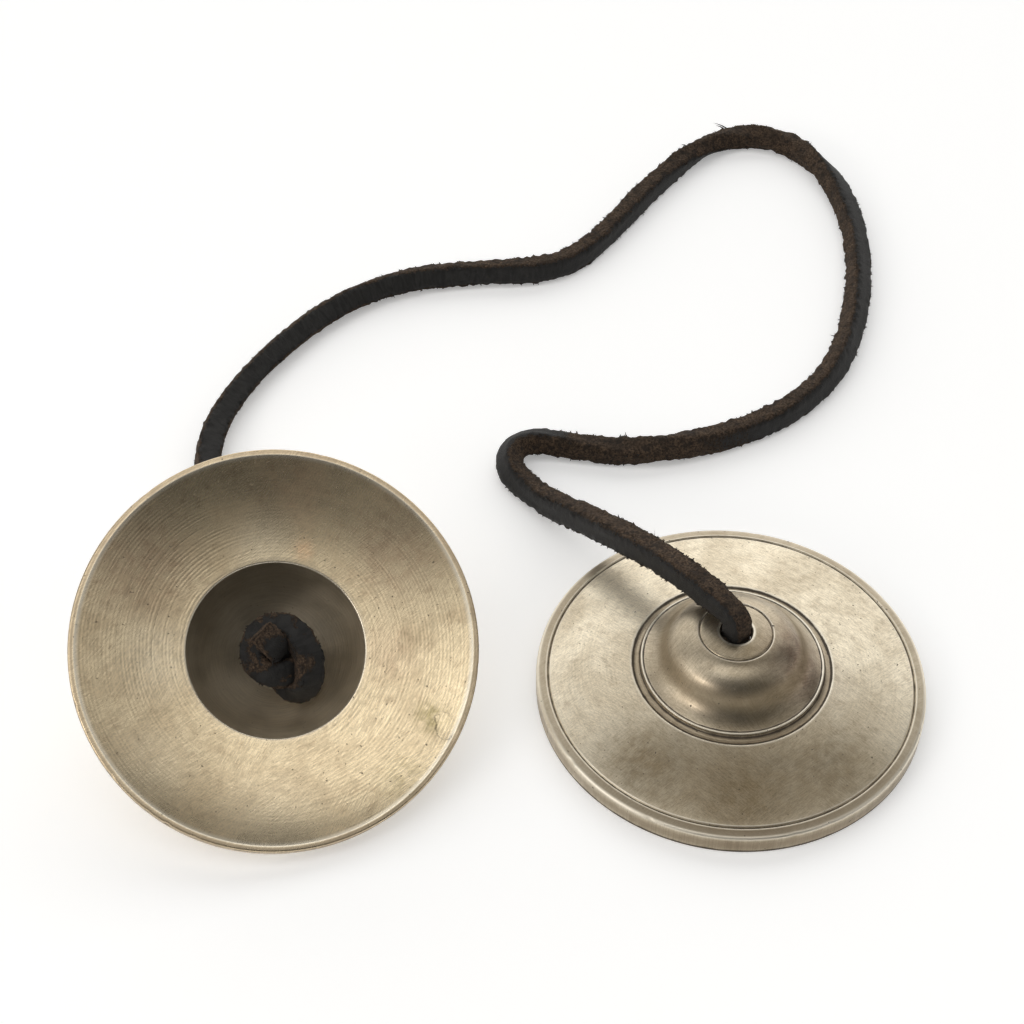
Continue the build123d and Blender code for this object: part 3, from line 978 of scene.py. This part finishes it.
    def add_fibres(self, first, last):
        """Torn teeth and fibres along the four edges of the stretch, in loose groups."""
        length = self.along[last] - self.along[first]
        corners = [index for index, share in enumerate(self.edge) if share > 0.6]
        crowd = smooth_noise(self.chance, len(self.points), CROWD_REACH)
        for _ in range(int(length * FIBRE_DENSITY)):
            ring = int(self.chance.integers(first + 1, max(last, first + 2)))
            column = int(self.chance.choice(corners))
            kind = self.chance.uniform()
            for least, reaches, breadths in FIBRE_KINDS:
                if kind >= least:
                    reach = self.chance.uniform(*reaches)
                    breadth = self.chance.uniform(*breadths)
            out = self.side[ring] * self.outward[column][0] + self.up[ring] * self.outward[column][1]
            lean = self.tangents[ring] * self.chance.normal(0, FIBRE_LEAN)
            aim = out + lean + self.chance.normal(0, FIBRE_SCATTER, 3)
            aim /= norm(aim)
            bend = self.chance.normal(0, FIBRE_BEND, 3) * reach
            grain = self.chance.uniform(0, 1)
            tip = self.rings[ring][column] + aim * reach + bend
            if crowd[ring] > BARE_CROWD and tip[2] > FLOOR_CLEARANCE:
                self.add_fibre(ring, column, aim, reach, breadth, bend, grain)

    def add_loose_fibre(self, ring, reach):
        """One long loose fibre at the thong's upper left edge."""
        left = np.cross((0, 0, 1), self.tangents[ring])
        wish = left * 0.8 + np.array((0, 0, 0.6))
        column = int(np.argmax((self.rings[ring] - self.points[ring]) @ wish))
        aim = wish * 0.75 - self.tangents[ring] * 0.65
        aim /= norm(aim)
        bend = -self.tangents[ring] * reach * 0.35 - wish * reach * 0.1
        self.add_fibre(ring, column, aim, reach, LOOSE_BREADTH, bend, 0.6)


def leather(name, wear):
    """Thong leather: a charcoal grain side, worn through in patches, and brown fibrous cut sides."""
    web = Web(bpy.data.materials.new(name))
    place = web.node("ShaderNodeTexCoord").outputs["Object"]
    in_mm = web.vector_math("MULTIPLY", place, (1 / MM,) * 3)
    blotch = web.noise(in_mm, 0.28, 4, 0.6)
    nap = web.noise(in_mm, 2.6, 3, 0.65)
    smear = web.noise(in_mm, 0.8, 3, 0.6)
    pores = web.noise(in_mm, 6.5, 2, 0.5)
    along = web.times(web.attribute("along"), 0.9)
    crease_place = web.vector(along, web.times(web.attribute("girth"), 5), 0)
    creases = web.noise(crease_place, 1, 3, 0.6, 0.9)
    frayed = ((web.minus(nap, 0.5), 1.5), (web.minus(blotch, 0.5), wear))
    edge = web.add_up(web.attribute("grain"), *frayed)
    black_side = web.span(edge, 0.42, 0.6)
    black = web.mix(web.span(creases, 0.3, 0.7), CHARCOAL, RUBBED_CHARCOAL)
    brown = web.mix(web.span(nap, 0.3, 0.72), DEEP_NAP, PALE_NAP)
    brown = web.mix(web.span(blotch, 0.42, 0.68, 0, 0.6), brown, BLOTCH)
    brown = web.mix(web.span(smear, 0.5, 0.66, 0, 0.75), brown, SMEAR)
    colour = web.mix(black_side, brown, black)
    rough = web.span(black_side, 0, 1, 0.92, 0.6)
    rough = web.plus(rough, web.span(creases, 0.3, 0.7, -0.06, 0.06), clamp=True)
    fuzz = web.times(web.minus(1, black_side), nap)
    relief = web.add_up(0, (creases, 0.4), (pores, 0.6), (fuzz, 1.5))
    web.surface({
        "Base Color": colour, "Roughness": rough, "Specular IOR Level": 0.22,
        "Sheen Weight": 0.04, "Sheen Roughness": 0.6, "Sheen Tint": SHEEN_TINT,
    }, relief, 0.00024, 0.85)
    return web.holder


def thong_route():
    """Route of the thong: out of the left boss, along the floor, and down through the right one."""
    route = [left_pivot + left_axis * reach for reach in LEFT_SHANK]
    route.append(left_pivot)
    route += [Vector((x, y, THONG_DIAMETER / 2)) for x, y in FLOOR_ROUTE]
    for reach, height in RISE_ROUTE:
        route.append(Vector((
            right_pivot.x + reach * cos(RISE_HEADING),
            right_pivot.y + reach * sin(RISE_HEADING),
            height)))
    route.append(right_pivot)
    route += [right_pivot - Vector((0, 0, reach)) for reach in RIGHT_SHANK]
    return route


leather_material = leather("thong_leather", wear=0.8)
knot_material = leather("knot_leather", wear=4.5)

thong_line, thong_along = evenly(spline_points(thong_route()), THONG_STEP)
thong_share = thong_along / thong_along[-1]
rolls = averaged(np.radians(np.interp(thong_share, *zip(*ROLLS))), ROLL_SMOOTHING)
tangents, normals = carried_frames(thong_line, len(thong_line) // 3, (0, 0, 1))
up = turned_frames(tangents, normals, rolls)
squeeze = np.interp(thong_share, SQUEEZE_SHARES, SQUEEZE)
kept_grain = np.interp(thong_share, WORN_STRETCH, (1, 0, 0, 1))
strap = Strap(
    thong_line, thong_along, tangents, up, THONG_SECTION, seed=5, pinch=squeeze, kept=kept_grain)
strap.settle(THONG_DIAMETER / 2)

# Seams between the free stretch and the two bends
from_left = norm(thong_line - np.array(left_pivot), axis=1)
from_right = norm(thong_line - np.array(right_pivot), axis=1)
left_seam = int(np.argmin(from_left)) + SEAM_STEPS
right_seam = int(np.argmin(from_right)) - SEAM_STEPS

free_stretch = strap.mesh(left_seam, right_seam, loose_fibres=LOOSE_FIBRES)
thong = add_piece("thong_leather", leather_material, *free_stretch)
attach(thong, "thong")
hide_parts("thong")

left_bend = add_piece("left_bend", leather_material, *strap.mesh(0, left_seam, cap_first=True))
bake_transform(left_bend)

right_end = strap.mesh(right_seam, len(thong_line) - 1, cap_last=True)
right_bend = add_piece("right_bend", leather_material, *right_end)
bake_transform(right_bend)


# Knots
def add_knot(name, body, place, turn, seed, tail=()):
    """An overhand knot of the same leather inside a boss, its tail cut off short."""
    spin = Matrix.Rotation(radians(turn), 4, "Z")
    frame_mm = place.copy()
    frame_mm.translation = place.translation / MM
    points = []
    for x, y, z in [*KNOT_ROUTE, *tail]:
        local = Vector((x * KNOT_PITCH, y * KNOT_PITCH, KNOT_MIDDLE + z * KNOT_PITCH))
        points.append(frame_mm @ (spin @ local))
    line, along = evenly(spline_points(points), KNOT_STEP)
    outward = frame_mm.to_3x3() @ Vector((0, 0, -1))
    centre = frame_mm @ Vector((0, 0, KNOT_MIDDLE))
    tangents, up = faced_frames(line, outward, centre)
    kept_grain = np.clip((along[-1] - along) / KNOT_TAIL, 0, 1)
    knot = Strap(line, along, tangents, up, KNOT_SECTION, seed, np.ones(len(line)), kept_grain)
    whole = knot.mesh(0, len(line) - 1, cap_first=True, cap_last=True)
    piece = add_piece(name, knot_material, *whole)
    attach(piece, body)
    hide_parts(body)
    return piece


left_knot = add_knot("left_knot_leather", "left_knot", left_place, LEFT_KNOT_TURN, seed=31, tail=LEFT_TAIL)
right_knot = add_knot("right_knot_leather", "right_knot", right_place, RIGHT_KNOT_TURN, seed=37)

# Stage: a pale floor that the camera sees as white where nothing shades it
floor_web = Web(bpy.data.materials.new("floor"))
light_path = floor_web.node("ShaderNodeLightPath").outputs
seen = floor_web.plus(light_path["Is Glossy Ray"], light_path["Is Transmission Ray"])
seen = floor_web.plus(seen, light_path["Is Camera Ray"], clamp=True)
floor_web.surface({
    "Base Color": (0.925, 0.93, 0.935, 1), "Roughness": 0.9, "Specular IOR Level": 0.1,
    "Emission Color": (1, 1, 0.995, 1), "Emission Strength": floor_web.times(seen, FLOOR_GLOW),
})
mesh = bpy.data.meshes.new("floor")
corners = [(-1, -1), (1, -1), (1, 1), (-1, 1)]
mesh.from_pydata([(x * FLOOR_HALF, y * FLOOR_HALF, 0) for x, y in corners], [], [(0, 1, 2, 3)])
mesh.materials.append(floor_web.holder)
floor = add_object("floor", mesh)

# Studio light: a wide pale ceiling, darker to the front and to the right, with a dark band a little
# behind the top, and white at the horizon, where the floor ends
world = bpy.data.worlds.new("studio")
bpy.context.scene.world = world
sky = Web(world)
direction = sky.node("ShaderNodeTexCoord").outputs["Generated"]
to_right, to_back, to_top = sky.node("ShaderNodeSeparateXYZ", {0: direction}).outputs
level = sky.span(to_back, -0.62, -0.2, 0.12, 1.38)
band = sky.times(sky.span(to_back, 0.07, 0.16), sky.span(to_back, 0.52, 0.38))
level = sky.times(level, sky.add_up(1, (band, -0.93)))
side = sky.span(to_right, 0, 0.5, 1, 0.45)
side = sky.larger(side, sky.span(to_back, 0.25, 0.5, 0.45, 1))
level = sky.times(level, side)
horizon = sky.span(to_top, 0.05, 0.13, 1, 0)
level = sky.plus(sky.times(level, sky.minus(1, horizon)), horizon)
light = sky.node("ShaderNodeBackground", {"Color": (1, 0.99, 0.97, 1), "Strength": level}).outputs[0]
sky.node("ShaderNodeOutputWorld", {"Surface": light})

lamp = bpy.data.lights.new("window", "AREA")
lamp.shape = "RECTANGLE"
lamp.size = 0.34
lamp.size_y = 0.16
lamp.energy = 0.9
lamp.color = (1, 0.93, 0.88)
window = add_object("window", lamp)
window.location = WINDOW_PLACE
window.rotation_euler = (Vector(WINDOW_AIM) - Vector(WINDOW_PLACE)).to_track_quat("-Z", "Y").to_euler()

camera_data = bpy.data.cameras.new("camera")
camera_data.lens = CAMERA_LENS
camera_data.sensor_width = SENSOR_WIDTH
camera_data.clip_start = 0.01
camera = add_object("camera", camera_data)
camera.location = CAMERA_PLACE
camera.rotation_euler = (CAMERA_TILT, 0, 0)
bpy.context.scene.camera = camera
bpy.context.scene.view_settings.view_transform = "Standard"
